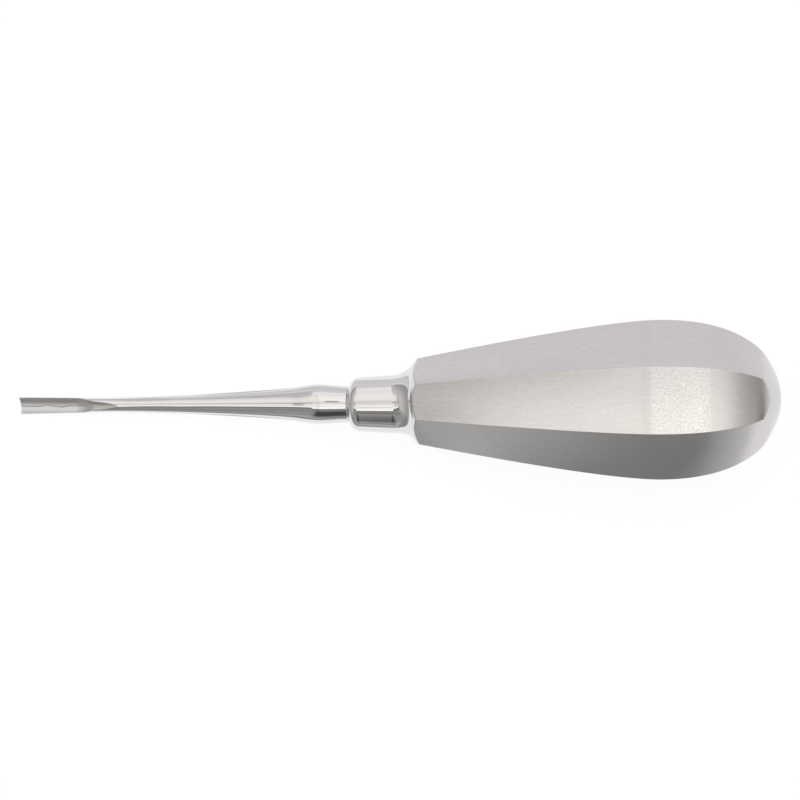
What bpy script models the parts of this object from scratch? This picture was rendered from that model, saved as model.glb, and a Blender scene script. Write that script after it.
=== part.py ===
# Straight dental elevator, 145 mm long, lying as it comes to rest: on the tip of its blade and on one
# facet of its handle. A hollow-ground gouge blade grows out of a round tapered shank, whose tang sits in
# a turned, polished ferrule. The ferrule's spigot closes a hollow pear-shaped handle, which is turned
# first and then ground to eight facets that run out against its flare and its dome.
# Metres, +Z up. The long axis is laid out along +X from the tip, then the whole tool is set down.
import math

import bmesh
import bpy
import numpy as np
from mathutils import Matrix, Vector, geometry

MM = 0.001

# Whole tool: stations are distances from the cutting edge along the axis
LENGTH = 145.0 * MM
FIT_CLEARANCE = 0.3 * MM  # all round a tang or a spigot in its bore

# Blade: the trough faces up, the back is rounded and thins towards the cutting edge
TIP_HALF_WIDTH = 1.58 * MM
TIP_THICKNESS = 0.24 * MM
TIP_SLANT = math.radians(6.5)  # the edge isn't quite square to the axis
SLANT_FADE = 5.0 * MM
BACK_TAPER = 16.0 * MM
TROUGH_DEPTH = 0.42 * MM  # floor of the trough below the axis
TROUGH_RADIUS = 1.9 * MM  # hollow of the trough across the blade
TROUGH_LENGTH = 10.9 * MM
RAMP_AT = 15.1 * MM  # where the steep end of the trough eases into a long shallow run-out
RAMP_ANGLE = math.radians(6.0)
RUNOUT_END = 19.8 * MM
RUNOUT_OFFSET = 0.42 * MM  # the grind drifts to one side by its end

# Shank: radii at stations, joined by a fair curve
NECK_AT = 17.5 * MM
NECK_RADIUS = 1.40 * MM
SHANK_AT = 31.5 * MM
SHANK_RADIUS = 1.76 * MM
THROAT_AT = 45.0 * MM
THROAT_RADIUS = 2.44 * MM
SWELL_AT = 52.8 * MM
SWELL_RADIUS = 3.07 * MM
BULB_AT = 58.4 * MM
BULB_RADIUS = 3.77 * MM
SHOULDER_RADIUS = 3.43 * MM

# Seat of the shank on the ferrule: a narrow V groove shows there
SEAT_AT = 64.35 * MM
GROOVE_RADIUS = 3.12 * MM
GROOVE_CHAMFER = 0.35 * MM
TANG_RADIUS = 2.4 * MM
TANG_LENGTH = 16.0 * MM
TANG_CHAMFER = 0.5 * MM

# Ferrule: rounded nose, slightly tapered barrel, concave flare that steepens into a cone
NOSE_RADIUS = 2.0 * MM
BARREL_FRONT_RADIUS = 5.12 * MM
BARREL_REAR_RADIUS = 5.52 * MM
FLARE_AT = 73.0 * MM
FLARE_RADIUS = 5.2 * MM
FLARE_ANGLE = math.radians(52.0)
SEAM_RADIUS = 7.6 * MM  # the ferrule's rear face meets the handle here, flush
SPIGOT_RADIUS = 5.2 * MM
SPIGOT_PAST_TANG = 4.0 * MM
SPIGOT_CHAMFER = 0.6 * MM

# Handle: distance from the axis to the middle of a facet
FACETS = 8
FRONT_APOTHEM = 7.95 * MM
FRONT_SLOPE = 0.188
BELLY_TO_BUTT = 22.3 * MM
BELLY_APOTHEM = 14.80 * MM
FRONT_HANDLE = 6.0 * MM  # lengths of the Bezier handles that shape the pear
BELLY_FRONT_HANDLE = 10.7 * MM
BELLY_REAR_HANDLE = 16.2 * MM
BUTT_HANDLE = 7.2 * MM
DOME_RADIUS = 10.2 * MM  # radius of the dome at its pole
DOME_OPENING = 1.3  # how fast the dome widens past a sphere, so that it clears the facets' corners
FACET_OVERRUN = 0.1 * MM  # the facets' own curve ends this far past the dome
BLANK_PROUD = 0.6 * MM  # the turned blank stands this far clear of the facets' corners
WALL = 1.2 * MM
FRONT_WALL = 2.5 * MM

# Fineness: steps round the axis, then points along it
SHANK_STEPS = 40
FERRULE_STEPS = 64
TROUGH_RESOLUTION = 16
BLADE_RINGS = 22
TAPER_RINGS = 12
BULB_RINGS = 12
GRIND_STATIONS = 40
ARC_POINTS = 9  # of the nose and of the flare
FACET_PITCH = 3.2 * MM
FRONT_STEPS = 200  # of the pear's front curve, from which the stations at that pitch are read
REAR_STEPS = 15
DOME_RINGS = 16
WELD = 0.001 * MM

# Finish: colour and roughness of each steel, and the angle from which an edge is sharp
POLISHED = ((0.78, 0.78, 0.79), 0.12)
SATIN = ((0.70, 0.69, 0.68), 0.38)
BLADE_SHARP = math.radians(35)
FERRULE_SHARP = math.radians(30)
HANDLE_SHARP = math.radians(20)

# Setting down
STEEPEST_REST = math.radians(30)
HALVINGS = 50  # of the interval that holds the tilt at rest
EMPTY_SIZE = 10 * MM

# Derived sizes
BACK_DEPTH = TROUGH_DEPTH + TIP_THICKNESS
TANG_BORE = TANG_RADIUS + FIT_CLEARANCE
SPIGOT_BORE = SPIGOT_RADIUS + FIT_CLEARANCE
CORNER = 1 / math.cos(math.pi / FACETS)  # a corner's radius over the apothem
HALF_FACET = math.tan(math.pi / FACETS)
NOSE_AT = SEAT_AT + NOSE_RADIUS
BARREL_ANGLE = math.atan2(BARREL_REAR_RADIUS - BARREL_FRONT_RADIUS, FLARE_AT - NOSE_AT)
CONE_AT = FLARE_AT + FLARE_RADIUS * (math.sin(FLARE_ANGLE) - math.sin(BARREL_ANGLE))
CONE_RADIUS = BARREL_REAR_RADIUS + FLARE_RADIUS * (math.cos(BARREL_ANGLE) - math.cos(FLARE_ANGLE))
SEAM_AT = CONE_AT + (SEAM_RADIUS - CONE_RADIUS) / math.tan(FLARE_ANGLE)
TANG_END = SEAT_AT + TANG_LENGTH
SPIGOT_END = TANG_END + SPIGOT_PAST_TANG
BELLY_AT = LENGTH - BELLY_TO_BUTT

OVERSHOOT = 2.0 * MM  # cutters run this far past what they cut
AXIS_ALONG_X = Matrix.Rotation(math.pi / 2, 4, "Y")  # a turned profile's Z becomes the tool's X


def clear_scene():
    for obj in list(bpy.data.objects):
        bpy.data.objects.remove(obj, do_unlink=True)


def collection_named(name):
    made = bpy.data.collections.new(name)
    bpy.context.scene.collection.children.link(made)
    return made


def steel(name, look):
    colour, roughness = look
    material = bpy.data.materials.new(name)
    material.use_nodes = True
    shader = material.node_tree.nodes["Principled BSDF"]
    shader.inputs["Base Color"].default_value = (*colour, 1.0)
    shader.inputs["Metallic"].default_value = 1.0
    shader.inputs["Roughness"].default_value = roughness
    return material


# Curves

def bezier(start, start_handle, end_handle, end, count):
    """Count points of one Bezier stretch, both ends included, as (station, radius) pairs."""
    corners = [Vector((*point, 0.0)) for point in (start, start_handle, end_handle, end)]
    return [(p.x, p.y) for p in geometry.interpolate_bezier(*corners, count)]


def fair_curve(stations):
    """A function through the (station, radius) pairs that never overshoots them."""
    at = np.array([s for s, _ in stations])
    radius = np.array([r for _, r in stations])
    rise = np.diff(radius) / np.diff(at)
    slope = np.zeros(len(at))
    for i in range(1, len(at) - 1):
        if rise[i - 1] * rise[i] > 0:
            slope[i] = 2 * rise[i - 1] * rise[i] / (rise[i - 1] + rise[i])

    def value(s):
        s = min(max(s, at[0]), at[-1])
        i = min(int(np.searchsorted(at, s, side="right")) - 1, len(rise) - 1)
        span = at[i + 1] - at[i]
        t = (s - at[i]) / span
        return float(
            radius[i] * (2 * t**3 - 3 * t**2 + 1)
            + span * slope[i] * (t**3 - 2 * t**2 + t)
            + radius[i + 1] * (3 * t**2 - 2 * t**3)
            + span * slope[i + 1] * (t**3 - t**2)
        )

    return value


shank_radius = fair_curve(
    [
        (0.0, TIP_HALF_WIDTH),
        (NECK_AT, NECK_RADIUS),
        (SHANK_AT, SHANK_RADIUS),
        (THROAT_AT, THROAT_RADIUS),
        (SWELL_AT, SWELL_RADIUS),
        (BULB_AT, BULB_RADIUS),
        (SEAT_AT, SHOULDER_RADIUS),
    ]
)


def pear_points(count):
    """The middle line of a facet, from the seam to just past the dome."""
    belly = (BELLY_AT, BELLY_APOTHEM)
    end = LENGTH + FACET_OVERRUN
    front = bezier(
        (SEAM_AT, FRONT_APOTHEM),
        (SEAM_AT + FRONT_HANDLE, FRONT_APOTHEM + FRONT_SLOPE * FRONT_HANDLE),
        (BELLY_AT - BELLY_FRONT_HANDLE, BELLY_APOTHEM),
        belly,
        count,
    )
    rear = bezier(
        belly, (BELLY_AT + BELLY_REAR_HANDLE, BELLY_APOTHEM), (end, BUTT_HANDLE), (end, 0.0), count
    )
    return front, rear


def pear_profile():
    """Stations of the facets' middle line. One strip of the facet lies on the table, so that strip's two
    ends are set evenly about the point where a line from the tip touches the pear."""
    front = pear_points(FRONT_STEPS)[0]
    at, apothem = np.array(front).T
    slope_from_tip = (apothem - BACK_DEPTH) / at
    rest_at = at[np.argmax(slope_from_tip)]
    first = math.ceil((SEAM_AT + FACET_PITCH / 2 - rest_at) / FACET_PITCH - 0.5)
    last = math.floor((BELLY_AT - FACET_PITCH / 2 - rest_at) / FACET_PITCH - 0.5)
    stations = [rest_at + (i + 0.5) * FACET_PITCH for i in range(first, last + 1)]
    points = [front[0]] + [(s, float(np.interp(s, at, apothem))) for s in stations]
    return points + pear_points(REAR_STEPS)[1]


def offset_inwards(points, distance):
    """The same line moved towards the axis, square to itself."""
    moved = []
    for i, (s, r) in enumerate(points):
        before, after = points[max(i - 1, 0)], points[min(i + 1, len(points) - 1)]
        along = Vector((after[0] - before[0], after[1] - before[1])).normalized()
        if i == len(points) - 1:
            along = Vector((0.0, -1.0))  # the line meets the axis square
        moved.append((s + distance * along.y, r - distance * along.x))
    return moved


# Turned bodies

def turned(name, profile, steps, collection, closed=False):
    """A body of revolution. The profile gives (station, radius) from butt to tip along the outer side."""
    corner = HALF_FACET if steps == FACETS else 0.0  # puts the middle of a facet, not a corner, on top
    mesh = bpy.data.meshes.new(name)
    edges = [(i, i + 1) for i in range(len(profile) - 1)]
    if closed:
        edges.append((len(profile) - 1, 0))
    mesh.from_pydata([(r, r * corner, s) for s, r in profile], edges, [])
    obj = bpy.data.objects.new(name, mesh)
    collection.objects.link(obj)
    turn = obj.modifiers.new("Turn", "SCREW")
    turn.steps = turn.render_steps = steps
    turn.use_merge_vertices = True
    turn.merge_threshold = WELD
    obj.matrix_basis = AXIS_ALONG_X
    return obj


def as_mesh(obj):
    """Swaps a modelled object for a plain mesh of what it shows, in the tool's own frame."""
    graph = bpy.context.evaluated_depsgraph_get()
    graph.update()
    mesh = bpy.data.meshes.new_from_object(obj.evaluated_get(graph))
    mesh.transform(obj.matrix_basis)
    name, holders = obj.name, list(obj.users_collection)
    bpy.data.objects.remove(obj, do_unlink=True)
    mesh.name = name
    made = bpy.data.objects.new(name, mesh)
    for holder in holders:
        holder.objects.link(made)
    return made


def as_cutter(obj):
    obj.hide_render = True
    obj.display_type = "WIRE"
    return obj


def boolean(obj, name, operation, other):
    cut = obj.modifiers.new(name, "BOOLEAN")
    cut.operation = operation
    cut.solver = "EXACT"
    cut.object = other


def finish(obj, material, sharp_angle):
    """Smooth shading up to the given angle between faces, and one material."""
    made = as_mesh(obj)
    made.data.materials.clear()
    made.data.materials.append(material)
    made.data.shade_smooth()
    made.data.set_sharp_from_angle(angle=sharp_angle)
    return made


# Blade and shank, one piece with the tang

def shank_profile():
    blade = np.linspace(RUNOUT_END, 0.0, BLADE_RINGS)[1:]
    taper = np.linspace(SWELL_AT, RUNOUT_END, TAPER_RINGS)
    bulb = np.linspace(SEAT_AT - GROOVE_CHAMFER, SWELL_AT, BULB_RINGS, endpoint=False)
    tang = [
        (TANG_END, 0.0),
        (TANG_END, TANG_RADIUS - TANG_CHAMFER),
        (TANG_END - TANG_CHAMFER, TANG_RADIUS),
        (SEAT_AT, TANG_RADIUS),
        (SEAT_AT, GROOVE_RADIUS),
    ]
    outer = [(s, shank_radius(s)) for s in (*bulb, *taper, *blade)]
    return tang + outer + [(0.0, 0.0)]


def shape_tip(mesh):
    """Thins the rounded back towards the cutting edge and sets the edge askew."""
    for vertex in mesh.vertices:
        s, across, up = vertex.co
        if s < BACK_TAPER and up < 0:
            full = shank_radius(s)
            depth = BACK_DEPTH + (full - BACK_DEPTH) * math.sin(math.pi / 2 * s / BACK_TAPER)
            vertex.co.z = up * depth / full
        if s < SLANT_FADE:
            vertex.co.x = s + (TIP_HALF_WIDTH - across) * math.tan(TIP_SLANT) * (1 - s / SLANT_FADE)


def trough_floor(s):
    """Height of the trough's floor over the axis: level, then a steep end, then a shallow ramp."""
    ramp = shank_radius(RUNOUT_END) - (RUNOUT_END - s) * math.tan(RAMP_ANGLE)
    t = min(max((s - TROUGH_LENGTH) / (RAMP_AT - TROUGH_LENGTH), 0.0), 1.0)
    ease = t * t * (3 - 2 * t)
    return -TROUGH_DEPTH * (1 - ease) + ramp * ease


def trough_cutter(tools):
    """The grinding wheel's path as a round bar: what it passes through is ground away."""
    curve = bpy.data.curves.new("hollow_grind", "CURVE")
    curve.dimensions = "3D"
    curve.bevel_depth = TROUGH_RADIUS
    curve.bevel_resolution = TROUGH_RESOLUTION
    curve.use_fill_caps = True
    stations = np.linspace(-OVERSHOOT, RUNOUT_END + OVERSHOOT, GRIND_STATIONS)
    path = curve.splines.new("POLY")
    path.points.add(len(stations) - 1)
    for point, s in zip(path.points, stations):
        drift = -RUNOUT_OFFSET * min(max(s / RUNOUT_END, 0.0), 1.0)
        point.co = (s, drift, trough_floor(s) + TROUGH_RADIUS, 1.0)
    obj = bpy.data.objects.new("hollow_grind", curve)
    tools.objects.link(obj)
    bar = as_mesh(obj)
    welded = bmesh.new()
    welded.from_mesh(bar.data)
    bmesh.ops.remove_doubles(welded, verts=welded.verts, dist=WELD)
    bmesh.ops.recalc_face_normals(welded, faces=welded.faces)
    welded.to_mesh(bar.data)
    welded.free()
    return as_cutter(bar)


def make_blade_shank(parts, tools, material):
    blank = as_mesh(turned("blade_shank", shank_profile(), SHANK_STEPS, parts))
    shape_tip(blank.data)
    boolean(blank, "Hollow grind", "DIFFERENCE", trough_cutter(tools))
    return finish(blank, material, BLADE_SHARP)


# Ferrule

def nose_points():
    """Quarter round between the front face and the barrel, listed from the barrel's side."""
    centre = BARREL_FRONT_RADIUS - NOSE_RADIUS
    angles = np.linspace(math.pi / 2 + BARREL_ANGLE, 0.0, ARC_POINTS)
    return [(NOSE_AT - NOSE_RADIUS * math.cos(a), centre + NOSE_RADIUS * math.sin(a)) for a in angles]


def flare_points():
    """Concave arc from the barrel into the cone, listed from the cone's side."""
    return [
        (
            FLARE_AT + FLARE_RADIUS * (math.sin(a) - math.sin(BARREL_ANGLE)),
            BARREL_REAR_RADIUS + FLARE_RADIUS * (math.cos(BARREL_ANGLE) - math.cos(a)),
        )
        for a in np.linspace(FLARE_ANGLE, BARREL_ANGLE, ARC_POINTS)
    ]


def make_ferrule(parts, material):
    spigot = [
        (SPIGOT_END, SPIGOT_RADIUS - SPIGOT_CHAMFER),
        (SPIGOT_END - SPIGOT_CHAMFER, SPIGOT_RADIUS),
        (SEAM_AT, SPIGOT_RADIUS),
    ]
    bore = [(SEAT_AT, TANG_BORE), (SPIGOT_END, TANG_BORE)]
    profile = spigot + [(SEAM_AT, SEAM_RADIUS)] + flare_points() + nose_points() + bore
    body = turned("ferrule", profile, FERRULE_STEPS, parts, closed=True)
    return finish(body, material, FERRULE_SHARP)


# Handle

def dome_radius(s):
    """Radius of the turned butt: a conic that is square to the axis at its pole."""
    depth = LENGTH - s
    return math.sqrt(2 * DOME_RADIUS * depth + DOME_OPENING * depth * depth)


def blank_profile(pear):
    """The turned blank: dome, then clear of the facets' corners, then the cone down to the seam."""
    clear = [(s, r * CORNER + BLANK_PROUD) for s, r in pear]
    dome_from = next(s for s, r in reversed(clear) if dome_radius(min(s, LENGTH)) > r)
    shares = np.linspace(0.0, 1.0, DOME_RINGS) ** 2  # rings crowd towards the pole
    dome = [(s, dome_radius(s)) for s in LENGTH - (LENGTH - dome_from) * shares]
    cone_top = FRONT_APOTHEM * CORNER + BLANK_PROUD
    cone_end = SEAM_AT + (cone_top - SEAM_RADIUS) / math.tan(FLARE_ANGLE)
    body = [(s, r) for s, r in reversed(clear) if cone_end + BLANK_PROUD < s < dome_from - BLANK_PROUD]
    return dome + body + [(cone_end, cone_top), (SEAM_AT, SEAM_RADIUS), (SEAM_AT, 0.0)]


def facet_cutter(pear, tools):
    """What the eight facets leave: an eight-sided pear, with a stub that reaches out past the seam."""
    stub = SEAM_AT - OVERSHOOT
    profile = list(reversed(pear)) + [(stub, FRONT_APOTHEM), (stub, 0.0)]
    return as_cutter(as_mesh(turned("facet_form", profile, FACETS, tools)))


def hollow_cutter(pear, tools):
    """The space inside, one wall thickness under the facets."""
    front = SEAM_AT + FRONT_WALL
    inner = offset_inwards(pear, WALL)
    at, apothem = np.array(inner).T
    kept = [(front, float(np.interp(front, at, apothem)))] + [p for p in inner if p[0] > front + WALL]
    return as_cutter(as_mesh(turned("hollow", list(reversed(kept)) + [(front, 0.0)], FACETS, tools)))


def spigot_cutter(tools):
    ends = (SEAM_AT + FRONT_WALL + OVERSHOOT, SEAM_AT - OVERSHOOT)
    profile = [(ends[0], 0.0), (ends[0], SPIGOT_BORE), (ends[1], SPIGOT_BORE), (ends[1], 0.0)]
    return as_cutter(as_mesh(turned("spigot_bore", profile, FERRULE_STEPS, tools)))


def make_handle(parts, tools, material):
    pear = pear_profile()
    handle = as_mesh(turned("handle", blank_profile(pear), FERRULE_STEPS, parts))
    boolean(handle, "Grind facets", "INTERSECT", facet_cutter(pear, tools))
    boolean(handle, "Hollow out", "DIFFERENCE", hollow_cutter(pear, tools))
    boolean(handle, "Spigot bore", "DIFFERENCE", spigot_cutter(tools))
    return finish(handle, material, HANDLE_SHARP)


# Setting the tool down

def points_of(obj):
    coords = np.empty(len(obj.data.vertices) * 3)
    obj.data.vertices.foreach_get("co", coords)
    return coords.reshape(-1, 3)


def tilted(points, angle):
    """Points in (x, y, z) after the butt is raised by the angle."""
    x, y, z = points.T
    c, s = math.cos(angle), math.sin(angle)
    return np.stack([x * c - z * s, y, x * s + z * c], axis=1)


def set_down(pieces, blade, handle):
    """Hangs the pieces on one empty, tilted so that the blade's tip and the handle touch the table,
    with the origin under the middle of the tool."""
    low, high = 0.0, STEEPEST_REST
    for _ in range(HALVINGS):
        angle = (low + high) / 2
        tip_below = tilted(points_of(blade), angle)[:, 2].min() < tilted(points_of(handle), angle)[:, 2].min()
        low, high = (low, angle) if tip_below else (angle, high)
    corners = np.concatenate([tilted(points_of(piece), angle) for piece in pieces])
    lowest, highest = corners.min(axis=0), corners.max(axis=0)
    pose = bpy.data.objects.new("rest_pose", None)
    bpy.context.scene.collection.objects.link(pose)
    pose.empty_display_size = EMPTY_SIZE
    pose.rotation_euler = (0.0, -angle, 0.0)
    pose.location = (-(lowest[0] + highest[0]) / 2, 0.0, -lowest[2])
    return pose


def main():
    clear_scene()
    parts = collection_named("straight_dental_elevator")
    tools = collection_named("cutters")
    tools.hide_render = True
    polished = steel("polished_steel", POLISHED)
    satin = steel("satin_steel", SATIN)

    blade = make_blade_shank(parts, tools, polished)
    ferrule = make_ferrule(parts, polished)
    handle = make_handle(parts, tools, satin)
    pose = set_down((blade, ferrule, handle), blade, handle)
    for obj in (*parts.objects, *tools.objects):
        obj.parent = pose


main()
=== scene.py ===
import math

import bmesh
import bpy
import numpy as np
from mathutils import Matrix, Vector


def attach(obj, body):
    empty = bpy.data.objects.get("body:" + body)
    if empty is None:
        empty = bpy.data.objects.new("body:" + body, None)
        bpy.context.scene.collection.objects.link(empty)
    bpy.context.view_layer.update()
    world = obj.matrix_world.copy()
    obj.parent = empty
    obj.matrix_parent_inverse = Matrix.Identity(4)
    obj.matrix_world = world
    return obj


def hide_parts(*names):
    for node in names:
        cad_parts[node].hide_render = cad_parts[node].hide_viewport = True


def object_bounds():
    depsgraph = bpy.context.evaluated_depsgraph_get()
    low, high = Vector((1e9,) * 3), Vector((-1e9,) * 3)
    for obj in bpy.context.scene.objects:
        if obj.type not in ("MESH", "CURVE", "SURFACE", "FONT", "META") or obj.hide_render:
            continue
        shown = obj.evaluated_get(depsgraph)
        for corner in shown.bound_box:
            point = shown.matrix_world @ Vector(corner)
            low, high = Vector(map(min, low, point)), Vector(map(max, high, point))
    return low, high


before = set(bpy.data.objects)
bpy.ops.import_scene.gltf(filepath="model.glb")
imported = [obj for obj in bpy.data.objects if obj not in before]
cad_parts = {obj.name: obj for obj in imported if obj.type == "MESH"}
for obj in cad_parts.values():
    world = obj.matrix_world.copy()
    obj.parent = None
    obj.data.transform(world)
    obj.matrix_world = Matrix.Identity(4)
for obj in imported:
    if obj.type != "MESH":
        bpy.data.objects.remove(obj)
cadBox = [list(corner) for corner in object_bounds()]
print("frame loaded:", ", ".join(sorted(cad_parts)))

# Stations and radii are in millimetres along the tool's own axis, from the cutting edge to the butt
mm = 0.001
weld = 0.0005  # points closer than this become one
partColl = bpy.data.collections.new("elevator")
stageColl = bpy.data.collections.new("studio")
for made in (partColl, stageColl):
    bpy.context.scene.collection.children.link(made)


class Link:
    # One socket of a node tree. Sums written with it add Math nodes.
    def __init__(self, tree, socket=None):
        self.tree = tree
        self.socket = socket

    def node(self, kind, settings=None, inputs=None, output=0):
        made = self.tree.nodes.new(kind)
        for name, value in (settings or {}).items():
            if name == "stops":
                fillRamp(made.color_ramp, value)
            else:
                setattr(made, name, value)
        for name, value in (inputs or {}).items():
            into = made.inputs[name]
            if isinstance(value, Link):
                self.tree.links.new(value.socket, into)
            elif isinstance(value, list):
                for one in value:
                    self.tree.links.new(one.socket, into)
            else:
                into.default_value = value
        return Link(self.tree, made.outputs[output])

    def other(self, output):
        return Link(self.tree, self.socket.node.outputs[output])

    def math(self, operation, *others, clamp=False, reflected=False):
        values = (*others, self) if reflected else (self, *others)
        return self.node(
            "ShaderNodeMath", {"operation": operation, "use_clamp": clamp}, dict(enumerate(values))
        )

    def __add__(self, other):
        return self.math("ADD", other)

    def __radd__(self, other):
        return self.math("ADD", other, reflected=True)

    def __sub__(self, other):
        return self.math("SUBTRACT", other)

    def __rsub__(self, other):
        return self.math("SUBTRACT", other, reflected=True)

    def __mul__(self, other):
        return self.math("MULTIPLY", other)

    def __rmul__(self, other):
        return self.math("MULTIPLY", other, reflected=True)

    def __truediv__(self, other):
        return self.math("DIVIDE", other)

    def __rtruediv__(self, other):
        return self.math("DIVIDE", other, reflected=True)

    def __pow__(self, other):
        return self.math("POWER", other)

    def __abs__(self):
        return self.math("ABSOLUTE")

    def towards(self, goal, share):
        return self + share * (goal - self)

    def smooth(self, low, high):
        # 0 below low, 1 above high, with a soft step between
        return self.node(
            "ShaderNodeMapRange",
            {"interpolation_type": "SMOOTHSTEP"},
            {"Value": self, "From Min": low, "From Max": high},
        )

    def blend(self, first, second):
        # a colour between two, by this socket's value: inputs 6 and 7 and output 2 are the colours
        first, second = (c if isinstance(c, Link) else (*c, 1.0) for c in (first, second))
        return self.node(
            "ShaderNodeMix",
            {"data_type": "RGBA", "clamp_factor": True},
            {"Factor": self, 6: first, 7: second},
            output=2,
        )


def fillRamp(ramp, stops):
    ramp.interpolation = "LINEAR"
    while len(ramp.elements) > 1:
        ramp.elements.remove(ramp.elements[-1])
    for i, (at, colour) in enumerate(stops):
        element = ramp.elements[0] if i == 0 else ramp.elements.new(at)
        element.position = at
        element.color = (*colour, 1.0)


def clamped(value, low=0.0, high=1.0):
    return min(max(value, low), high)


# The tool's sizes that more than one piece shares
tool = {
    "length": 145.0,
    "edgeBack": 0.66,  # the blade's back lies this far under the axis at the cutting edge
    "edgeSetback": 0.04,  # and, once tilted, this far behind the blade's foremost corner
    "seat": 64.35,  # end of the shank on the ferrule
    "seatRadius": 3.12,
    "seamRadius": 7.6,  # the ferrule meets the handle, flush
    "coneDegrees": 52.0,  # steepest slope of the flare, which runs on over the handle's front
    "boreRadius": 5.5,
    "boreDepth": 9.0,
    # shank and ferrule sit a little off the handle's axis: station, how far aside
    "drift": (
        (0.0, -0.30), (30.0, -0.30), (58.4, -0.42), (66.0, -0.55), (73.0, -0.55), (76.8, 0.0)
    ),
}

pear = {
    "facets": 8,
    "frontApothem": 7.95,  # middle of a facet to the axis, at the seam
    "frontSlope": 0.188,
    "frontHandle": 6.0,  # the handles of the facet's two Bezier stretches
    "bellyAt": 122.7,
    "bellyApothem": 14.80,
    "bellyFrontHandle": 10.7,
    "bellyRearHandle": 16.2,
    "buttHandle": 7.2,
    "overrun": 0.1,
    "domeRadius": 10.2,
    "domeOpening": 1.3,
    "crown": 0.13,  # the facets are very slightly domed across
    "edgeSoftness": 0.07,
    "runoutSoftness": 0.12,
    "mostSoft": 0.3,  # the run-out is never softened by more than this share of the radius
    "frontRings": 150,
    "frontCrowding": 1.35,  # above 1, rings stand closer towards the ferrule
    "rearRings": 170,
    "cellsPerFacet": 26,
    "curveSamples": 700,
    "sharpDegrees": 50,
}

ferrule = {
    "noseRadius": 2.0,
    "barrelFront": 5.12,
    "barrelRear": 5.52,
    "flareAt": 73.0,
    "flareRadius": 5.2,
    "spigotRadius": 5.2,
    "spigotEnd": 84.35,
    "bore": 2.7,
    "chamfer": 0.6,
    "steps": 224,
    "stepWeld": 0.0001,
    "flareRings": 28,
    "barrelRings": 26,
    "noseRings": 30,
    "coneRings": 4,
    "sharpDegrees": 32,
}

barrelAngle = math.atan2(
    ferrule["barrelRear"] - ferrule["barrelFront"],
    ferrule["flareAt"] - tool["seat"] - ferrule["noseRadius"],
)
coneAngle = math.radians(tool["coneDegrees"])


def onFlare(angle):
    # station and radius where the flare's arc slopes by this angle
    radius = ferrule["flareRadius"]
    return (
        ferrule["flareAt"] + radius * (math.sin(angle) - math.sin(barrelAngle)),
        ferrule["barrelRear"] + radius * (math.cos(barrelAngle) - math.cos(angle)),
    )


coneAt, coneRadius = onFlare(coneAngle)
seamAt = coneAt + (tool["seamRadius"] - coneRadius) / math.tan(coneAngle)


# How the tool lies: the line from the blade's back that touches the pear is level
def pearFront(t):
    p0 = np.array([seamAt, pear["frontApothem"]])
    p1 = p0 + pear["frontHandle"] * np.array([1.0, pear["frontSlope"]])
    p3 = np.array([pear["bellyAt"], pear["bellyApothem"]])
    p2 = p3 - np.array([pear["bellyFrontHandle"], 0.0])
    return p0 * (1 - t) ** 3 + 3 * p1 * t * (1 - t) ** 2 + 3 * p2 * t**2 * (1 - t) + p3 * t**3


def climb(point):
    # from the blade's back to a point of the pear
    return (point[1] - tool["edgeBack"]) / point[0]


touchSamples = 400
touching = max((pearFront(t / touchSamples) for t in range(touchSamples + 1)), key=climb)
tilt = math.atan2(touching[1] - tool["edgeBack"], touching[0])
lift = tool["edgeBack"] * math.cos(tilt) * mm
edgeX = cadBox[0][0] + tool["edgeSetback"] * mm
edgePlace = Matrix.Translation((edgeX, 0.0, cadBox[0][2] + lift))
toWorld = edgePlace @ Matrix.Rotation(-tilt, 4, "Y")
print("rests at", round(math.degrees(tilt), 2), "degrees")


def drifted(points):
    # the same points, aside by what the drift gives at their station
    at, aside = np.array(tool["drift"]).T
    return [(s, across + float(np.interp(s, at, aside)), up) for s, across, up in points]


def placed(mesh, name, material, sharpDegrees):
    # puts a mesh made on the tool's axis where the tool lies, smooth but for its edges
    mesh.transform(Matrix.Scale(mm, 4))
    mesh.transform(toWorld)
    mesh.name = name
    mesh.materials.clear()
    mesh.materials.append(material)
    mesh.shade_smooth()
    mesh.set_sharp_from_angle(angle=math.radians(sharpDegrees))
    obj = bpy.data.objects.new(name, mesh)
    partColl.objects.link(obj)
    return obj


def plainMesh(obj):
    # the mesh that a modelled object shows, without its modifiers
    graph = bpy.context.evaluated_depsgraph_get()
    graph.update()
    mesh = bpy.data.meshes.new_from_object(obj.evaluated_get(graph))
    bpy.data.objects.remove(obj, do_unlink=True)
    return mesh


def cleaned(mesh):
    work = bmesh.new()
    work.from_mesh(mesh)
    bmesh.ops.remove_doubles(work, verts=work.verts, dist=weld)
    bmesh.ops.dissolve_degenerate(work, edges=work.edges, dist=weld)
    bmesh.ops.recalc_face_normals(work, faces=work.faces)
    work.to_mesh(mesh)
    work.free()
    return mesh


# Finishes

def newMaterial(name):
    material = bpy.data.materials.new(name)
    material.use_nodes = True
    material.node_tree.nodes["Principled BSDF"].inputs["Metallic"].default_value = 1.0
    return material


def dress(material, colour, rough, height):
    tree = material.node_tree
    shader = tree.nodes["Principled BSDF"]
    bump = height.node("ShaderNodeBump", {}, {"Strength": 1.0, "Distance": mm, "Height": height})
    for name, made in (("Base Color", colour), ("Roughness", rough), ("Normal", bump)):
        tree.links.new(made.socket, shader.inputs[name])


def onAxis(tree):
    # Object coordinates turned so that X runs along the tool from its cutting edge, in millimetres
    where = Link(tree).node("ShaderNodeTexCoord", output="Object")
    toTool = Matrix.Scale(1 / mm, 4) @ toWorld.inverted()
    return where.node(
        "ShaderNodeMapping",
        {"vector_type": "POINT"},
        {
            "Vector": where,
            "Location": toTool.to_translation(),
            "Rotation": (0.0, tilt, 0.0),
            "Scale": (1 / mm, 1 / mm, 1 / mm),
        },
    )


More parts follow.
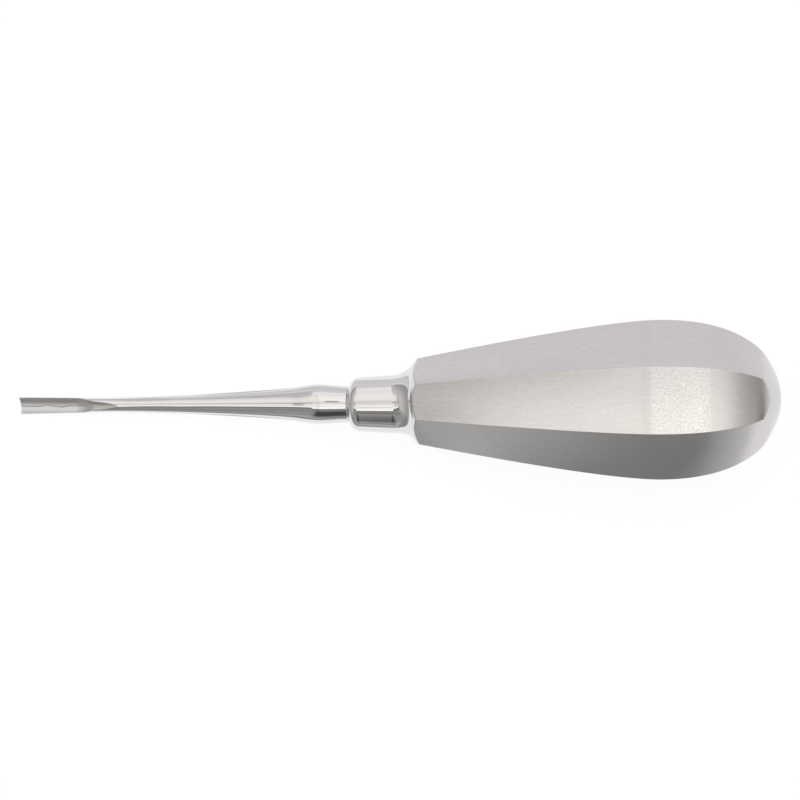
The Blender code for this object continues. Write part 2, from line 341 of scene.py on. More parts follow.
def grain(at, along, across, detail=3.0, roughness=0.6):
    # noise drawn out along the tool: its grains are so many millimetres long and wide
    stretched = at.node(
        "ShaderNodeMapping",
        {"vector_type": "POINT"},
        {"Vector": at, "Scale": (1 / along, 1 / across, 1 / across)},
    )
    return at.node(
        "ShaderNodeTexNoise",
        {},
        {"Vector": stretched, "Scale": 1.0, "Detail": detail, "Roughness": roughness},
    )


def toned(share, colour):
    # the colour at half its strength where the share is 0, at one and a half where it is 1
    return share.blend(*(tuple(c * strength for c in colour) for strength in (0.5, 1.5)))


satin = {
    "colour": (0.782, 0.760, 0.747),
    "cloudSize": (9.0, 5.0),
    "cloudSpread": 0.04,
    "cloudRoughness": 0.04,
    "streakSpread": 0.18,
    "pitSpread": 0.09,
    "roughness": 0.07,
    "roughnessSpread": 0.02,
    "brushSize": (6.0, 0.05),  # of its grains, along the tool and across
    "brushBump": 0.008,
    "streakSize": (18.0, 0.3),
    "streakBump": 0.0015,
    "pitSize": (0.16, 0.16),
    "pitBump": 0.001,
    # painted highlight: a brighter ring of fine glinting flecks between two stations
    "glintBand": (121.0, 131.9),
    "glintBandEdges": (0.25, 0.3),  # how far the ring takes to begin and to end
    "glintBandGain": 0.05,
    "glintBorderFrom": (1.9, 1.4, 0.1),  # its painted shade border: begins, is full and fades, before the ring
    "glintBorderShade": 0.04,
    "fleckSize": (0.18, 0.32),
    "glintFleckGain": 0.9,
    "besideShare": 0.22,  # of the painted highlight and painted shade on the facets beside the upper and the lower one
    "besideFrom": (0.395, 0.42),  # those facets begin where this share of aside to up is passed
    "frontShadeEnd": 96.0,
    "frontShade": (0.05, 0.25),  # painted shade next to the ferrule: its depth on the upper side and on the lower
    "frontShadeAcross": (-3.0, 2.8),  # it changes from one to the other between these lines
}


def satinSteel():
    material = newMaterial("satinSteel")
    at = onAxis(material.node_tree)
    station = at.node("ShaderNodeSeparateXYZ", {}, {0: at})
    aside, up = station.other("Y"), station.other("Z")
    brush = grain(at, *satin["brushSize"], 2.0)
    streak = grain(at, *satin["streakSize"], 4.0)
    cloud = grain(at, *satin["cloudSize"], 2.0)
    pits = grain(at, *satin["pitSize"], 2.0, 0.5)
    flecks = grain(at, *satin["fleckSize"], 1.0)
    tone = 1.0 + (cloud - 0.5) * satin["cloudSpread"]
    tone = tone + (streak - 0.5) * satin["streakSpread"] + (pits - 0.5) * satin["pitSpread"]

    # the painted highlight ring and its painted shade border, fainter on the facets at the sides
    front, rear = satin["glintBand"]
    begins, ends = satin["glintBandEdges"]
    glintBand = station.smooth(front, front + begins) * (1.0 - station.smooth(rear - ends, rear))
    outset, full, fades = satin["glintBorderFrom"]
    border = station.smooth(front - outset, front - full)
    border = border * (1.0 - station.smooth(front - fades, front))
    beside = (abs(aside) / abs(up)).smooth(*satin["besideFrom"])
    share = 1.0 - beside * (1.0 - satin["besideShare"])
    tone = tone + share * glintBand * (satin["glintBandGain"] + (flecks - 0.5) * satin["glintFleckGain"])
    tone = tone - share * border * satin["glintBorderShade"]

    # painted shade next to the ferrule, deeper on the lower side
    left, right = satin["frontShade"]
    frontShade = left + (1.0 - aside.smooth(*satin["frontShadeAcross"])) * (right - left)
    tone = tone - (1.0 - station.smooth(seamAt, satin["frontShadeEnd"])) * frontShade * share
    rough = satin["roughness"] + (streak - 0.5) * satin["roughnessSpread"]
    rough = rough + (cloud - 0.5) * satin["cloudRoughness"]
    height = brush * satin["brushBump"] + streak * satin["streakBump"] + pits * satin["pitBump"]
    dress(material, toned(tone - 0.5, satin["colour"]), rough, height)
    return material


polish = {
    "colour": (0.80, 0.795, 0.79),
    "roughness": 0.05,
    "roughnessSpread": 0.05,
    "smearSize": (3.0, 1.2),
    "lineSize": (12.0, 0.12),
    "lineBump": 0.0006,
    "waveSize": (7.0, 1.6),
    "waveBump": 0.004,
    "grindColour": (0.60, 0.585, 0.56),
    "grindRoughness": 0.36,
    "grindLines": 5.0,  # so much deeper are the lines of the matt run-out
    "fleckSize": (0.4, 0.2),
    "fleckSpread": 0.5,  # of the matt run-out's tone
    "hollowRoughness": 0.46,
    "passAt": -0.5,  # millimetres aside of the axis
    "passGrain": 3.5,
    "passWave": 1.1,
    "passSoftness": 0.08,
    "passShadeTone": 0.84,
    "passEdgeShade": 0.42,
    "passEdgeWidth": (0.05, 0.16),
}


def polishedSteel():
    material = newMaterial("polishedSteel")
    at = onAxis(material.node_tree)
    aside = at.node("ShaderNodeSeparateXYZ", {}, {0: at}, output="Y")
    ground, hollow = (
        at.node("ShaderNodeAttribute", {"attribute_name": name}, output="Fac")
        for name in ("ground", "hollow")
    )
    lines = grain(at, *polish["lineSize"])
    smear = grain(at, *polish["smearSize"], 2.0)
    wave = grain(at, *polish["waveSize"], 0.0)
    flecks = grain(at, *polish["fleckSize"], 1.0)

    # in the trough the wavy border of a first pass of the wheel, with painted shade on one side of
    # it and a painted dark line along it
    waver = grain(at, polish["passGrain"], polish["passGrain"], 2.0) - 0.5
    off = aside - (polish["passAt"] + waver * polish["passWave"])
    shadedSide = off.smooth(0.0, polish["passSoftness"])
    edge = 1.0 - abs(off).smooth(*polish["passEdgeWidth"])
    # painted shade: one side of the wavy border darker, and a dark line along it
    shade = hollow * (shadedSide * (1.0 - polish["passShadeTone"]) + edge * polish["passEdgeShade"])
    clean = shade.blend(polish["colour"], (0.0, 0.0, 0.0))
    speckled = toned(0.5 + (flecks - 0.5) * polish["fleckSpread"], polish["grindColour"])

    plain = polish["roughness"]
    rough = plain + (smear - 0.5) * polish["roughnessSpread"]
    rough = rough + ground * (polish["grindRoughness"] - plain)
    rough = rough + hollow * (1.0 - ground) * (polish["hollowRoughness"] - plain)
    height = lines * polish["lineBump"] * (1.0 + ground * polish["grindLines"])
    height = height + wave * polish["waveBump"]
    dress(material, ground.blend(clean, speckled), rough, height)
    return material


satinMaterial = satinSteel()
polishMaterial = polishedSteel()
print("finishes made")


# Handle: one tree turns a plain grid into the faceted pear

def pearTree(material):
    tree = bpy.data.node_groups.new("facetedPear", "GeometryNodeTree")
    tree.is_modifier = True
    sizes = {
        "Facets": ("NodeSocketInt", pear["facets"]),
        "Front Rings": ("NodeSocketInt", pear["frontRings"]),
        "Rear Rings": ("NodeSocketInt", pear["rearRings"]),
        "Cells per Facet": ("NodeSocketInt", pear["cellsPerFacet"]),
        "Seam Station": ("NodeSocketFloat", seamAt),
        "Seam Radius": ("NodeSocketFloat", tool["seamRadius"]),
        "Cone Slope": ("NodeSocketFloat", math.tan(coneAngle)),
        "Length": ("NodeSocketFloat", tool["length"]),
        "Dome Radius": ("NodeSocketFloat", pear["domeRadius"]),
        "Dome Opening": ("NodeSocketFloat", pear["domeOpening"]),
        "Crown": ("NodeSocketFloat", pear["crown"]),
        "Edge Softness": ("NodeSocketFloat", pear["edgeSoftness"]),
        "Runout Softness": ("NodeSocketFloat", pear["runoutSoftness"]),
    }
    tree.interface.new_socket("Geometry", in_out="INPUT", socket_type="NodeSocketGeometry")
    for name, (kind, _) in sizes.items():
        tree.interface.new_socket(name, in_out="INPUT", socket_type=kind)
    tree.interface.new_socket("Geometry", in_out="OUTPUT", socket_type="NodeSocketGeometry")
    start = Link(tree).node("NodeGroupInput")
    given = {name: start.other(name) for name in sizes}

    # the facet's middle line: two Bezier stretches that meet at the belly
    front, rise = pear["frontApothem"], pear["frontSlope"] * pear["frontHandle"]
    bellyAt, belly = pear["bellyAt"], pear["bellyApothem"]
    buttAt = tool["length"] + pear["overrun"]
    frontStretch, rearStretch = (
        start.node(
            "GeometryNodeCurvePrimitiveBezierSegment",
            {"mode": "POSITION"},
            {
                "Resolution": pear["curveSamples"],
                **{name: (at, 0.0, apothem) for name, (at, apothem) in points.items()},
            },
        )
        for points in (
            {
                "Start": (seamAt, front),
                "Start Handle": (seamAt + pear["frontHandle"], front + rise),
                "End Handle": (bellyAt - pear["bellyFrontHandle"], belly),
                "End": (bellyAt, belly),
            },
            {
                "Start": (bellyAt, belly),
                "Start Handle": (bellyAt + pear["bellyRearHandle"], belly),
                "End Handle": (buttAt, pear["buttHandle"]),
                "End": (buttAt, 0.0),
            },
        )
    )

    rings = given["Front Rings"] + given["Rear Rings"] + 1.0
    around = given["Facets"] * given["Cells per Facet"]
    grid = start.node(
        "GeometryNodeMeshGrid",
        {},
        {"Size X": 1.0, "Size Y": 1.0, "Vertices X": rings, "Vertices Y": around + 1.0},
    )
    uv = grid.node("ShaderNodeSeparateXYZ", {}, {0: grid.other("UV Map")})
    ring = uv * (rings - 1.0)
    isRear = ring.math("GREATER_THAN", given["Front Rings"] + 0.5)
    frontShare = ring.math("DIVIDE", given["Front Rings"], clamp=True) ** pear["frontCrowding"]
    behind = ring - given["Front Rings"]
    rearShare = behind.math("DIVIDE", given["Rear Rings"], clamp=True)
    curves = start.node("GeometryNodeJoinGeometry", {}, {"Geometry": [rearStretch, frontStretch]})
    sampled = start.node(
        "GeometryNodeSampleCurve",
        {"mode": "FACTOR", "use_all_curves": False},
        {
            "Curves": curves,
            "Factor": frontShare.towards(rearShare, isRear),
            "Curve Index": isRear,
        },
        output="Position",
    )
    middle = sampled.node("ShaderNodeSeparateXYZ", {}, {0: sampled})
    station = middle.math("MINIMUM", given["Length"])
    apothem = middle.other("Z")

    # around the axis: columns crowd towards the facets' corners
    turn = uv.other("Y") * given["Facets"]
    facet = (turn + 1e-5).math("FLOOR")  # a column right on a corner begins the next facet
    across = (turn - facet) * 2.0 - 1.0
    halfAngle = math.pi / given["Facets"]
    offset = halfAngle * (across * (math.pi / 2)).math("SINE")
    angle = facet * (2.0 * halfAngle) + offset
    spread = offset.math("TANGENT") / halfAngle.math("TANGENT")
    crown = given["Crown"] * (apothem / belly) * spread * spread
    flat = (apothem - crown) / offset.math("COSINE")
    nextFlat = apothem / (2.0 * halfAngle - abs(offset)).math("COSINE")
    ground = flat.math("SMOOTH_MIN", nextFlat, given["Edge Softness"])

    # the turned blank that the facets run out on
    depth = given["Length"] - station
    domeSquare = depth * given["Dome Radius"] * 2.0 + depth * depth * given["Dome Opening"]
    cone = given["Seam Radius"] + (station - given["Seam Station"]) * given["Cone Slope"]
    blank = domeSquare.math("SQRT").math("MINIMUM", cone)
    soft = given["Runout Softness"].math("MINIMUM", blank * pear["mostSoft"])
    radius = ground.math("SMOOTH_MIN", blank, soft)

    place = radius.node(
        "ShaderNodeCombineXYZ",
        {},
        {"X": station, "Y": radius * angle.math("SINE"), "Z": radius * angle.math("COSINE")},
    )
    shaped = start.node("GeometryNodeSetPosition", {}, {"Geometry": grid, "Position": place})
    welded = start.node(
        "GeometryNodeMergeByDistance", {}, {"Geometry": shaped, "Distance": weld}
    )
    real = start.node("GeometryNodeRealizeInstances", {}, {"Geometry": welded})
    dressed = start.node(
        "GeometryNodeSetMaterial", {}, {"Geometry": real, "Material": material}
    )
    tree.links.new(dressed.socket, tree.nodes.new("NodeGroupOutput").inputs[0])
    return tree, sizes


def boreInto(mesh):
    # closes the handle's front round a blind bore for the ferrule's spigot
    work = bmesh.new()
    work.from_mesh(mesh)
    rim = [e for e in work.edges if e.is_boundary]
    for station in (seamAt, seamAt + tool["boreDepth"]):
        grown = bmesh.ops.extrude_edge_only(work, edges=rim)["geom"]
        for vertex in (v for v in grown if isinstance(v, bmesh.types.BMVert)):
            out = Vector((0.0, vertex.co.y, vertex.co.z)).normalized()
            vertex.co = Vector((station, 0.0, 0.0)) + out * tool["boreRadius"]
        rim = [e for e in grown if isinstance(e, bmesh.types.BMEdge)]
    bmesh.ops.contextual_create(work, geom=rim)
    bmesh.ops.recalc_face_normals(work, faces=work.faces)
    work.to_mesh(mesh)
    work.free()


def makeHandle():
    host = bpy.data.objects.new("handleHost", bpy.data.meshes.new("handleHost"))
    partColl.objects.link(host)
    tree, sizes = pearTree(satinMaterial)
    maker = host.modifiers.new("Faceted pear", "NODES")
    maker.node_group = tree
    for item in tree.interface.items_tree:
        if item.in_out == "INPUT" and item.name in sizes:
            maker[item.identifier] = sizes[item.name][1]
    mesh = plainMesh(host)
    boreInto(mesh)
    return placed(mesh, "pearHandle", satinMaterial, pear["sharpDegrees"])


handlePiece = makeHandle()
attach(handlePiece, "root")
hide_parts("handle")
print("handle made:", len(handlePiece.data.polygons), "faces")


# Ferrule

def turnedMesh(profile, steps):
    # a closed (station, radius) outline swept round the tool's axis
    mesh = bpy.data.meshes.new("outline")
    links = [(i, (i + 1) % len(profile)) for i in range(len(profile))]
    mesh.from_pydata([(r, 0.0, s) for s, r in profile], links, [])
    obj = bpy.data.objects.new("outline", mesh)
    partColl.objects.link(obj)
    sweep = obj.modifiers.new("Turn", "SCREW")
    sweep.steps = sweep.render_steps = steps
    sweep.use_merge_vertices = True
    sweep.merge_threshold = ferrule["stepWeld"]
    made = plainMesh(obj)
    made.transform(Matrix.Rotation(math.pi / 2, 4, "Y"))
    for vertex, place in zip(made.vertices, drifted([v.co for v in made.vertices])):
        vertex.co = place
    return cleaned(made)


def line(start, end, count):
    return [tuple(p) for p in np.linspace(start, end, count, endpoint=False)]


def ferruleProfile():
    nose, seat, end = ferrule["noseRadius"], tool["seat"], ferrule["spigotEnd"]
    spigot, chamfer = ferrule["spigotRadius"], ferrule["chamfer"]
    centre = ferrule["barrelFront"] - nose
    closing = math.asin((tool["seatRadius"] - centre) / nose)
    rear = [(end, spigot - chamfer), (end - chamfer, spigot), (seamAt, spigot)]
    flare = [onFlare(a) for a in np.linspace(coneAngle, barrelAngle, ferrule["flareRings"])]
    front = [
        (seat + nose - nose * math.cos(a), centre + nose * math.sin(a))
        for a in np.linspace(math.pi / 2 + barrelAngle, closing, ferrule["noseRings"])
    ]
    cone = line((seamAt, tool["seamRadius"]), flare[0], ferrule["coneRings"])
    barrel = line(flare[-1], front[0], ferrule["barrelRings"])[1:]
    inside = [(seat, tool["seatRadius"]), (seat, ferrule["bore"]), (end, ferrule["bore"])]
    return rear + cone + flare + barrel + front + inside


def makeFerrule():
    mesh = turnedMesh(ferruleProfile(), ferrule["steps"])
    return placed(mesh, "turnedFerrule", polishMaterial, ferrule["sharpDegrees"])


ferrulePiece = makeFerrule()
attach(ferrulePiece, "root")
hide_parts("ferrule")
print("ferrule made:", len(ferrulePiece.data.polygons), "faces")


# Blade and shank: one loft from the cutting edge to the end of the tang

blade = {
    "halfWidth": 1.58,
    "thickness": 0.24,
    "slantDegrees": 6.5,
    "slantFade": 5.0,
    "backTaper": 16.0,
    "troughDepth": 0.42,
    "troughRadius": 1.9,
    "troughLength": 10.9,
    "rampAt": 15.1,
    "rampDegrees": 6.0,
    "runoutEnd": 19.8,
    "runoutOffset": 0.42,
    "mattFrom": 12.5,  # the wheel's marks turn matt here and are fully so a little further on
    "mattFade": 1.4,
    # station, radius
    "stations": (
        (0.0, 1.58), (17.5, 1.40), (31.5, 1.76), (45.0, 2.44), (52.8, 3.07), (58.4, 3.77),
        (64.35, 3.43),
    ),
    "groove": 0.35,
    "tangRadius": 2.4,
    "tangEnd": 80.35,
    "tangChamfer": 0.5,
    # rings of the loft: up to a station in the trough, then to the run-out's end, then on the shank
    "evenTo": 9.0,
    "evenRings": 46,
    "runoutRings": 108,
    "shankRings": 110,
    "ringGaps": (0.1, 0.3),  # between the last ring of one stretch and the first of the next
    "backPoints": 96,
    "troughPoints": 40,
    "sharpDegrees": 32,
}


def fairCurve(stations):
    # through the (station, radius) pairs without overshooting them
    at, radius = np.array(stations).T
    rise = np.diff(radius) / np.diff(at)
    slope = np.zeros(len(at))
    for i in range(1, len(at) - 1):
        if rise[i - 1] * rise[i] > 0:
            slope[i] = 2 * rise[i - 1] * rise[i] / (rise[i - 1] + rise[i])

    def value(s):
        i = clamped(int(np.searchsorted(at, s, side="right")) - 1, 0, len(rise) - 1)
        span = at[i + 1] - at[i]
        t = clamped((s - at[i]) / span)
        return float(
            radius[i] * (2 * t**3 - 3 * t**2 + 1)
            + span * slope[i] * (t**3 - 2 * t**2 + t)
            + radius[i + 1] * (3 * t**2 - 2 * t**3)
            + span * slope[i + 1] * (t**3 - t**2)
        )

    return value


shankRadius = fairCurve(blade["stations"])


def troughFloor(s):
    # level under the trough, then up the wheel's ramp to the shank's surface
    end, length = blade["runoutEnd"], blade["troughLength"]
    ramp = shankRadius(end) - (end - s) * math.tan(math.radians(blade["rampDegrees"]))
    t = clamped((s - length) / (blade["rampAt"] - length))
    ease = t * t * (3 - 2 * t)
    return -blade["troughDepth"] * (1 - ease) + ramp * ease


def cornerAngle(a, b, opposite):
    # between sides a and b of a triangle, and flat where the three sides don't close
    return math.acos(clamped((a**2 + b**2 - opposite**2) / (2 * a * b), -1.0, 1.0))


def bladeSection(s, radius):
    # back of the blade, then its hollow, as (across, up) points once round
    hollow = blade["troughRadius"]
    sideways = -blade["runoutOffset"] * min(s / blade["runoutEnd"], 1.0)
    upwards = troughFloor(min(s, blade["runoutEnd"])) + hollow
    apart = math.hypot(sideways, upwards)
    if s >= blade["runoutEnd"]:
        apart = radius + hollow
    lean = math.atan2(sideways, upwards)
    rim = cornerAngle(apart, radius, hollow)
    inner = cornerAngle(apart, hollow, radius)
    depth = radius
    if s < blade["backTaper"]:
        thin = blade["troughDepth"] + blade["thickness"]
        depth = thin + (radius - thin) * math.sin(math.pi / 2 * s / blade["backTaper"])
    points = []
    for t in np.linspace(0.0, 1.0, blade["backPoints"], endpoint=False):
        a = lean + rim + (2 * math.pi - 2 * rim) * t
        up = radius * math.cos(a)
        points.append((radius * math.sin(a), up if up > 0 else up * depth / radius))
    wheel = (apart * math.sin(lean), apart * math.cos(lean))
    for t in np.linspace(-1.0, 1.0, blade["troughPoints"], endpoint=False):
        if inner > 0:
            a = lean + math.pi - inner * t
            points.append((wheel[0] + hollow * math.sin(a), wheel[1] + hollow * math.cos(a)))
        else:
            points.append((radius * math.sin(lean), radius * math.cos(lean)))
    return points


def bladeRings():
    # (station, radius) of every ring, the tang's last
    evenTo, runoutEnd, seat = blade["evenTo"], blade["runoutEnd"], tool["seat"]
    tang, chamfer, end = blade["tangRadius"], blade["tangChamfer"], blade["tangEnd"]
    firstGap, secondGap = blade["ringGaps"]
    stations = (
        *np.linspace(0.0, evenTo, blade["evenRings"]),
        *np.linspace(evenTo + firstGap, runoutEnd, blade["runoutRings"]),
        *np.linspace(runoutEnd + secondGap, seat - blade["groove"], blade["shankRings"]),
    )
    ground = [(s, shankRadius(s)) for s in stations]
    return ground + [
        (seat, tool["seatRadius"]), (seat, tang), (end - chamfer, tang), (end, tang - chamfer)
    ]


def makeBlade():
    rings = bladeRings()
    slant = math.tan(math.radians(blade["slantDegrees"]))
    points = []
    for s, radius in rings:
        for across, up in bladeSection(s, radius):
            push = (blade["halfWidth"] - across) * slant * max(1 - s / blade["slantFade"], 0.0)
            points.append((s + push, across, up))
    count = blade["backPoints"] + blade["troughPoints"]
    faces = [list(range(count))[::-1]]
    shares = {"ground": [0.0], "hollow": [0.0]}
    for i, (s, _) in enumerate(rings[:-1]):
        matt = clamped((s - blade["mattFrom"]) / blade["mattFade"])
        for j in range(count):
            k = (j + 1) % count
            here, ahead = i * count, (i + 1) * count
            faces.append((here + j, here + k, ahead + k, ahead + j))
            carved = j >= blade["backPoints"]
            shares["ground"].append(matt if carved else 0.0)
            shares["hollow"].append(1.0 if carved and s < blade["rampAt"] else 0.0)
    faces.append([(len(rings) - 1) * count + j for j in range(count)])
    mesh = bpy.data.meshes.new("blade")
    mesh.from_pydata(drifted(points), [], faces)
    for name, values in shares.items():
        values.append(0.0)
        mesh.attributes.new(name, "FLOAT", "FACE").data.foreach_set("value", values)
    return placed(cleaned(mesh), "gougeBladeShank", polishMaterial, blade["sharpDegrees"])


bladePiece = makeBlade()
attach(bladePiece, "root")
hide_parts("blade_shank")
print("blade made:", len(bladePiece.data.polygons), "faces")


# Studio: a bright soft ceiling, a grey side and a dark side

perRadian = 180 / math.pi
lavender = (1.0, 0.972, 1.0)

room = {
    # brightness by degrees across: 0 is straight up, 90 the horizon at the top of the picture
    "across": (
        (-112, 0.34), (-92, 0.34), (-76, 0.34), (-60, 0.29), (-50, 0.32), (-45, 0.39), (-40, 0.23),
        (-32, 0.26), (-29.6, 0.17), (-28.2, 0.17), (-27.4, 1.2), (-18, 1.2), (-16.5, 0.94),
        (-9, 0.92), (-7.5, 1.18), (-4, 1.18), (-2.5, 0.92), (6, 0.86), (9, 0.82), (15, 0.81),
        (18, 0.97), (30, 1.03), (45, 1.01), (52, 0.94), (66, 0.94), (68, 1.04), (70.5, 1.03),
        (75, 0.81), (92, 0.73), (104, 0.70), (112, 0.70),
    ),
    # brightness by degrees along: 0 is straight up, 90 the horizon beyond the butt
    "along": (
        (-90, 0.50), (-50, 0.55), (-45, 0.62), (-42, 0.88), (-33, 0.93), (-29, 0.95), (-22, 0.99),
        (-16, 1.01), (-14.5, 0.92), (-12.6, 0.90), (-11.6, 0.92), (-11.2, 1.07), (-6, 1.08),
        (-2, 1.02), (8, 1.08), (17.5, 1.10), (18.3, 1.02), (30, 0.94), (36, 0.85), (43, 0.71),
        (51, 0.56), (62, 0.47), (73, 0.40), (83, 0.33), (90, 0.32),
    ),
    "overheadTo": (50, 60),  # degrees across in which "along" loses its hold
    # slopes that face the tip see the ceiling narrower, and duller at the top of the picture
    "squeeze": 1.35,
    "steepTo": (-24.0, -21.8),  # degrees along in which such slopes end
    "steepLean": (0.138, -26.8),  # or they end on a line that leans across
    "steepEdge": (-2.4, 1.4),
    "steepShade": 0.19,
    "steepShadeFrom": (40, 60),
    # tone at table height, by degrees round from the butt's side, beyond so many degrees across
    "sides": (
        (-180, 0.38), (-160, 0.38), (-145, 0.26), (-125, 0.32), (-118, 0.44), (-113, 0.50),
        (-110, 0.47), (-107, 0.39), (-104, 0.31), (-99, 0.25), (-94, 0.23), (-84, 0.22),
        (-75, 0.22), (-70.5, 0.24), (-69, 0.31), (-60, 0.41), (-40, 0.58), (-20, 0.72), (0, 0.78),
        (30, 0.74), (60, 0.72), (100, 0.71), (104, 0.70), (107, 0.64), (113.5, 0.62), (116, 0.50),
        (118, 0.42), (124, 0.40), (135, 0.34), (150, 0.38), (180, 0.38),
    ),
    "sidesFrom": (78, 88),
    # dark things: middle, half size and softness, each along and across in degrees, and depth
    "darks": (
        ((-5.0, -60.5), (16.0, 22.0), (0.6, 0.38), 0.78),
        ((-3.5, 16.0), (4.6, 4.2), (0.45, 0.35), 0.7),
        ((-36.5, -1.0), (4.1, 11.0), (0.4, 0.35), 0.35),
        ((-31.0, 8.0), (10.0, 7.0), (0.2, 0.45), 0.2),
    ),
    # tone towards the tip, by degrees of height, and the degrees round in which it holds
    "tipward": (
        (-90, 0.35), (-20, 0.35), (0, 0.37), (5, 0.42), (13, 0.50), (20, 0.57), (30, 0.63),
        (38, 0.64), (90, 0.64),
    ),
    "tipwardRound": (
        (-180, 1.0), (-158, 1.0), (-140, 0.0), (119, 0.0), (126, 1.0), (180, 1.0)
    ),
    "tipwardTop": (33, 38),
    "warm": (1.0, 0.975, 0.945),
    "green": (0.99, 1.0, 0.99),
    "greenTo": (-40, -36),
    "lavenderFrom": (50, 60),
}


def toneRamp(value, stops):
    # a grey by the value, which runs from the first stop to the last
    low, high = stops[0][0], stops[-1][0]
    shares = [((at - low) / (high - low), (v, v, v)) for at, v in stops]
    share = (value - low) / (high - low)
    return value.node("ShaderNodeValToRGB", {"stops": shares}, {"Fac": share})


def emptyTree(owner):
    owner.use_nodes = True
    owner.node_tree.nodes.clear()
    return owner.node_tree


def studioWorld():
    world = bpy.data.worlds.new("studio")
    bpy.context.scene.world = world
    tree = emptyTree(world)
    start = Link(tree)
    seen = start.node("ShaderNodeTexCoord", output="Generated")
    dx = seen.node("ShaderNodeSeparateXYZ", {}, {0: seen})
    dy, dz = dx.other("Y"), dx.other("Z")
    across = dy.math("ARCTAN2", dz) * perRadian
    along = dx.math("ARCSINE") * perRadian
    azimuth = dy.math("ARCTAN2", dx) * perRadian
    height = dz.math("ARCSINE") * perRadian

    lean, border = room["steepLean"]
    bent = along - across * lean - border
    steep = 1.0 - along.smooth(*room["steepTo"])
    steep = steep.math("MAXIMUM", 1.0 - bent.smooth(*room["steepEdge"]))
    ceiling = toneRamp(across * (1.0 + steep * (room["squeeze"] - 1.0)), room["across"])
    overhead = 1.0 - abs(across).smooth(*room["overheadTo"])
    level = ceiling * (1.0 + overhead * (toneRamp(along, room["along"]) - 1.0))
    shade = steep * across.smooth(*room["steepShadeFrom"]) * room["steepShade"]
    level = level * (1.0 - shade)
    low = abs(across).smooth(*room["sidesFrom"])
    level = level.towards(toneRamp(azimuth, room["sides"]), low)
    for middle, half, soft, depth in room["darks"]:
        insideAlong, insideAcross = (
            1.0 - (abs(angle - centre) / size).smooth(1.0 - edge, 1.0)
            for angle, centre, size, edge in zip((along, across), middle, half, soft)
        )
        level = level * (1.0 - insideAlong * insideAcross * depth)
    tipward = toneRamp(azimuth, room["tipwardRound"])
    tipward = tipward * (1.0 - height.smooth(*room["tipwardTop"]))
    level = level.towards(toneRamp(height, room["tipward"]), tipward)

    warmOrNot = across.smooth(*room["lavenderFrom"]).blend(room["warm"], lavender)
    tint = across.smooth(*room["greenTo"]).blend(room["green"], warmOrNot)
    lit = tint.node("ShaderNodeBackground", {}, {"Color": tint, "Strength": level})
    white = start.node(
        "ShaderNodeBackground", {}, {"Color": (1.0, 1.0, 1.0, 1.0), "Strength": 1.0}
    )
    rays = start.node("ShaderNodeLightPath", output="Is Camera Ray")
    mixed = start.node("ShaderNodeMixShader", {}, {0: rays, 1: lit, 2: white})
    tree.links.new(mixed.socket, tree.nodes.new("ShaderNodeOutputWorld").inputs["Surface"])


# Table: plain white to the camera, a map of tones to the polished steel. Its sizes are millimetres.
table = {
    "span": 6000.0,
    "paint": (0.95, 0.95, 0.95),
    "whiteness": 0.92,
    # a white strip under the tool, from a near line to a far one, and how soft they are
    "strip": (-40.0, 28.0),
    "stripSoftness": (8.0, 3.0),
    "stripAtTip": 13.0,  # the far line is nearer at the tip and widens between two stations
    "stripWidens": (-12, 0),
    "stripLean": -0.5,  # the near line leans by this along the tool, as far as the next value
    "leanTo": 50.0,
    # tone of the strip along the tool
    "stripTone": (
        (-600, 0.34), (-100, 0.38), (-85, 0.42), (-76, 0.55), (-68, 0.92), (-60, 0.97),
        (74, 0.95), (84, 0.86), (120, 0.82), (200, 0.74), (400, 0.55), (800, 0.40), (1000, 0.36),
    ),
    # a soft shadow of the tool, painted into this map: middle, inner and outer reach, depth
    "shade": ((-29.0, 0.0), 2.0, 12.0, 0.5),
    # a grey line along the strip's far border, which fades out along the tool
    "lineSoftness": 2.0,
    "lineWidth": 3.0,
    "lineTone": 0.60,
    "lineFade": (30, 80),
    # tone beyond the strip, by degrees round a point on the tool's line, as "sides" of the room
    "sides": (
        (-180, 0.38), (-160, 0.38), (-145, 0.26), (-125, 0.32), (-118, 0.44), (-113, 0.50),
        (-110, 0.47), (-107, 0.40), (-104, 0.36), (-99, 0.29), (-94, 0.24), (-84, 0.22),
        (-75, 0.22), (-70.5, 0.24), (-69, 0.31), (-60, 0.41), (-40, 0.58), (-20, 0.72), (0, 0.78),
        (40, 0.72), (88, 0.72), (92, 0.76), (98, 0.82), (102, 0.84), (108, 0.82), (112, 0.76),
        (117, 0.42), (140, 0.36), (180, 0.38),
    ),
    "roundFrom": (25.0, -40.0),  # that point for the near and for the far side
}


